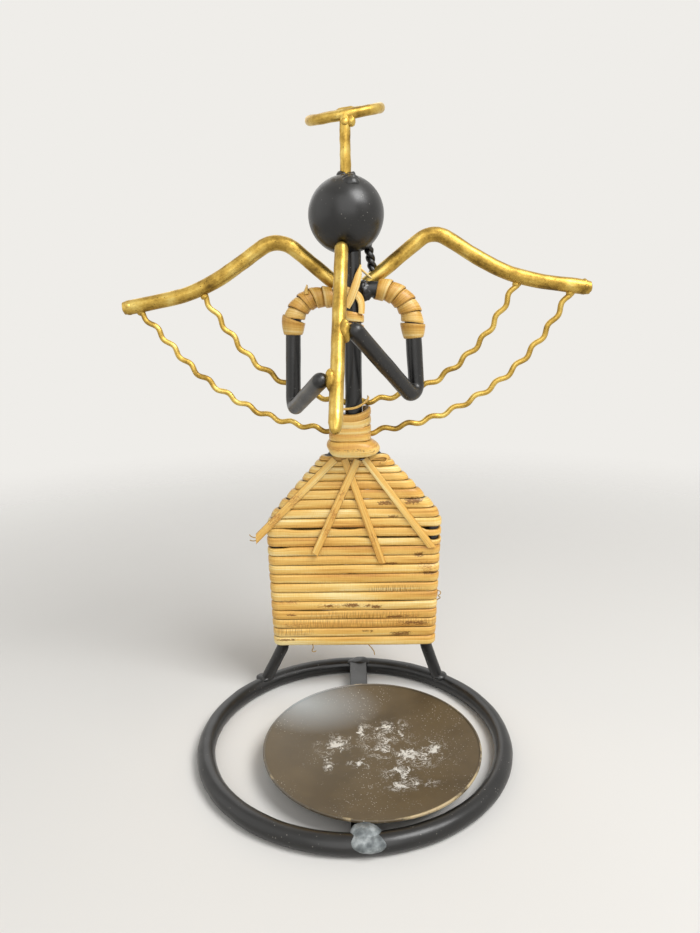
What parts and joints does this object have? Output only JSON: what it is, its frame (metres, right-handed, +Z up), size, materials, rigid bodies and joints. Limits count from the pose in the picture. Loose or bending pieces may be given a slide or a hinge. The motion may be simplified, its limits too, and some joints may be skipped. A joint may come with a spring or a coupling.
{
  "type": "wrought iron candle holder",
  "caption": "Wrought iron candle holder: an angel of bent rods and wound rattan, with a halo, a trumpet and wings, stands behind a round drip pan inside a ring.",
  "frame": {"origin": "on the table plane, under the middle of the bounding box", "axes": "+Z up, +X to the right as seen from the front, +Y from the pan back towards the figure"},
  "size_m": [0.2182, 0.1476, 0.2901],
  "materials": {
    "black_iron": "satin black paint on forged iron, with specks of dust",
    "bare_weld": "bare pale grey weld",
    "pan_iron": "dark brown sheet iron with white wax smears",
    "gold_paint": "brushed antique gold paint on iron",
    "rattan": "split rattan, glossy skin with brown streaks and nodes",
    "rattan_strap": "flat pale rattan strip"
  },
  "bodies": {
    "root": {"base_ring": "black_iron", "pan_bar": "black_iron", "bar_weld": "black_iron", "frame_rod_left": "black_iron", "frame_rod_right": "black_iron", "foot_weld_left": "black_iron", "foot_weld_right": "black_iron", "head_ball": "black_iron", "spine": "black_iron", "arm_left": "black_iron", "arm_right": "black_iron", "braid": "black_iron", "ring_weld": "bare_weld", "drip_pan": "pan_iron", "trumpet": "gold_paint", "hand_weld_left": "gold_paint", "hand_weld_right": "gold_paint", "wing_rod_left": "gold_paint", "wing_rod_right": "gold_paint", "wire_inner_left": "gold_paint", "wire_outer_left": "gold_paint", "wire_inner_right": "gold_paint", "wire_outer_right": "gold_paint", "halo_ring": "gold_paint", "halo_stem": "gold_paint", "halo_weld": "gold_paint", "skirt_winding": "rattan", "waist_band": "rattan", "waist_winding": "rattan", "chest_winding": "rattan", "sleeve_left": "rattan", "sleeve_right": "rattan", "cuff_left": "rattan", "cuff_right": "rattan", "skirt_strap_1": "rattan_strap", "skirt_strap_2": "rattan_strap", "skirt_strap_3": "rattan_strap", "skirt_strap_4": "rattan_strap", "chest_strap_left": "rattan_strap", "chest_strap_right": "rattan_strap"}
  },
  "joints": []
}
